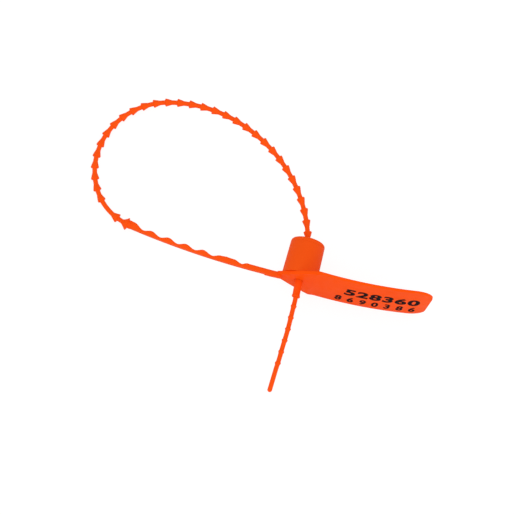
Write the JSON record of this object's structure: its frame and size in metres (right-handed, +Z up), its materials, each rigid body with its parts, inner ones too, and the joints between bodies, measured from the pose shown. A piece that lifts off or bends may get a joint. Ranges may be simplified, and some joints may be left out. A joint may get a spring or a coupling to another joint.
{
  "type": "pull-tight security seal",
  "caption": "Pull-tight plastic security seal: a barbed strap looped back through a barrel lock, with a numbered flag and a pull tail.",
  "frame": {"origin": "on the long edge that the flag stands on, in the flag's mid-plane, beside the lock; the bore's axis is 6 mm towards -X and 11.5 mm up", "axes": "+X along the flag to its free end, +Y along the lock's bore towards the mouth that the strap enters, +Z up"},
  "size_m": [0.1207, 0.093, 0.023],
  "materials": {
    "moulding": "satin moulded polypropylene",
    "insert": "smooth acetal"
  },
  "bodies": {
    "root": {"flag": "moulding", "lock_barrel": "moulding", "barrel_cap": "moulding", "jaw_collar": "insert"},
    "strap": {"pull_tail": "moulding", "strap_collar": "moulding", "strap_in_lock": "moulding", "strap_loop_1": "moulding", "strap_loop_2": "moulding", "strap_loop_3": "moulding", "strap_loop_4": "moulding", "strap_loop_5": "moulding", "strap_loop_6": "moulding", "strap_loop_7": "moulding", "strap_loop_8": "moulding", "strap_loop_end": "moulding", "strap_stop": "moulding"},
    "grip": {"grip_strap": "moulding"},
    "jaw_1": {"jaw_1": "insert"},
    "jaw_2": {"jaw_2": "insert"},
    "jaw_3": {"jaw_3": "insert"},
    "jaw_4": {"jaw_4": "insert"}
  },
  "joints": [
    {"name": "strap_pull", "type": "slide", "parent": "root", "child": "strap", "axis": [0, -1, 0], "range_m": [0, 0.0033]},
    {"name": "grip_bend", "type": "hinge", "parent": "root", "child": "grip", "pos_m": [-0.0135, 0, 0.0105], "axis": [-0.1326, 0, 0.9912], "range_deg": [0, 3.8]},
    {"name": "jaw_1_spread", "type": "hinge", "parent": "root", "child": "jaw_1", "pos_m": [-0.00377, 0.0098, 0.01373], "axis": [-0.7071, 0, 0.7071], "range_deg": [0, 6.4]},
    {"name": "jaw_2_spread", "type": "hinge", "parent": "root", "child": "jaw_2", "pos_m": [-0.00823, 0.0098, 0.01373], "axis": [-0.7071, 0, -0.7071], "range_deg": [0, 6.4]},
    {"name": "jaw_3_spread", "type": "hinge", "parent": "root", "child": "jaw_3", "pos_m": [-0.00823, 0.0098, 0.00927], "axis": [0.7071, 0, -0.7071], "range_deg": [0, 6.4]},
    {"name": "jaw_4_spread", "type": "hinge", "parent": "root", "child": "jaw_4", "pos_m": [-0.00377, 0.0098, 0.00927], "axis": [0.7071, 0, 0.7071], "range_deg": [0, 6.4]}
  ],
  "couplings": [
    {"joint": "grip_bend", "follows": "strap_pull", "rad_per_m": 19.55},
    {"joint": "jaw_1_spread", "follows": "strap_pull", "rad_per_m": 32.791},
    {"joint": "jaw_2_spread", "follows": "strap_pull", "rad_per_m": 32.791},
    {"joint": "jaw_3_spread", "follows": "strap_pull", "rad_per_m": 32.791},
    {"joint": "jaw_4_spread", "follows": "strap_pull", "rad_per_m": 32.791}
  ]
}
